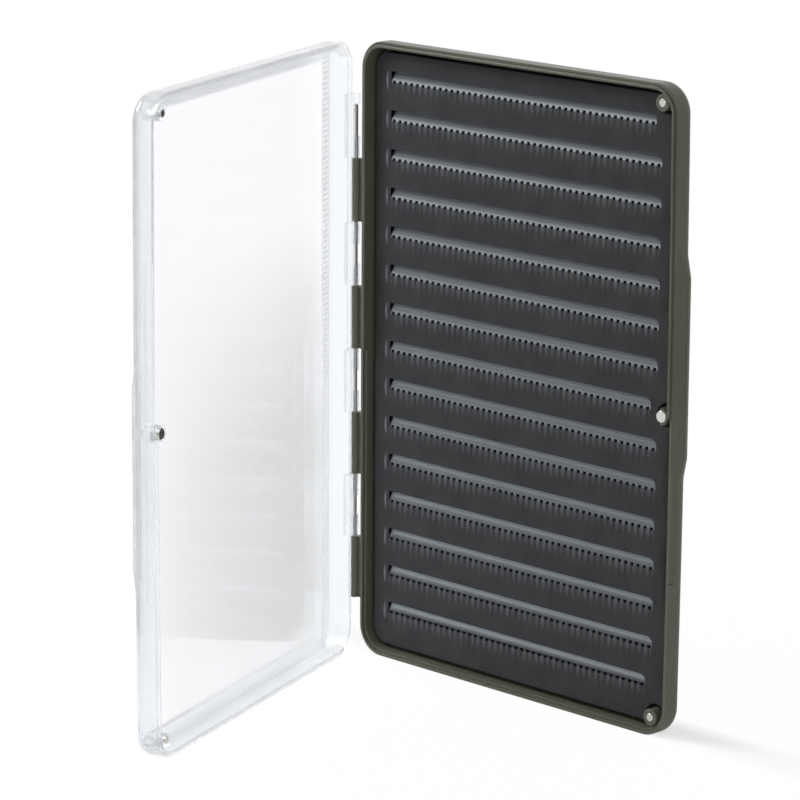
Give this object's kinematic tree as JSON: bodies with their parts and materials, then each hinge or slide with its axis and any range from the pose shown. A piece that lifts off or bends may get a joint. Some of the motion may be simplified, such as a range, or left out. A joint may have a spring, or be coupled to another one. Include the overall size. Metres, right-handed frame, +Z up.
{
  "type": "fly box",
  "caption": "Slim fishing fly box standing open on its short end: slotted foam tray and clear lid on a long side pin hinge, shut by small magnets.",
  "frame": {"origin": "middle of the tray's flat bottom end face, on which the box stands", "axes": "+Z up the long side of the box, +X from the hinge side to the free side of the tray, +Y out through the tray's back"},
  "size_m": [0.1352, 0.1306, 0.19],
  "materials": {
    "tray_plastic": "fine satin moulded olive grey ABS",
    "clear_plastic": "clear glossy polycarbonate",
    "foam": "matte closed-cell EVA foam",
    "tape": "double-sided adhesive sheet",
    "steel": "drawn stainless wire",
    "magnet": "nickel plate"
  },
  "bodies": {
    "tray": {"base_shell": "tray_plastic", "foam_insert": "foam", "foam_tape": "tape", "hinge_pin": "steel", "base_magnet_bottom": "magnet", "base_magnet_middle": "magnet", "base_magnet_top": "magnet"},
    "lid": {"lid_shell": "clear_plastic", "lid_magnet_bottom": "magnet", "lid_magnet_middle": "magnet", "lid_magnet_top": "magnet"}
  },
  "joints": [
    {"name": "lid_hinge", "type": "hinge", "parent": "tray", "child": "lid", "pos_m": [-0.06523, -0.002, 0.095], "axis": [0, 0, -1], "range_deg": [-69.7, 110.3]}
  ]
}
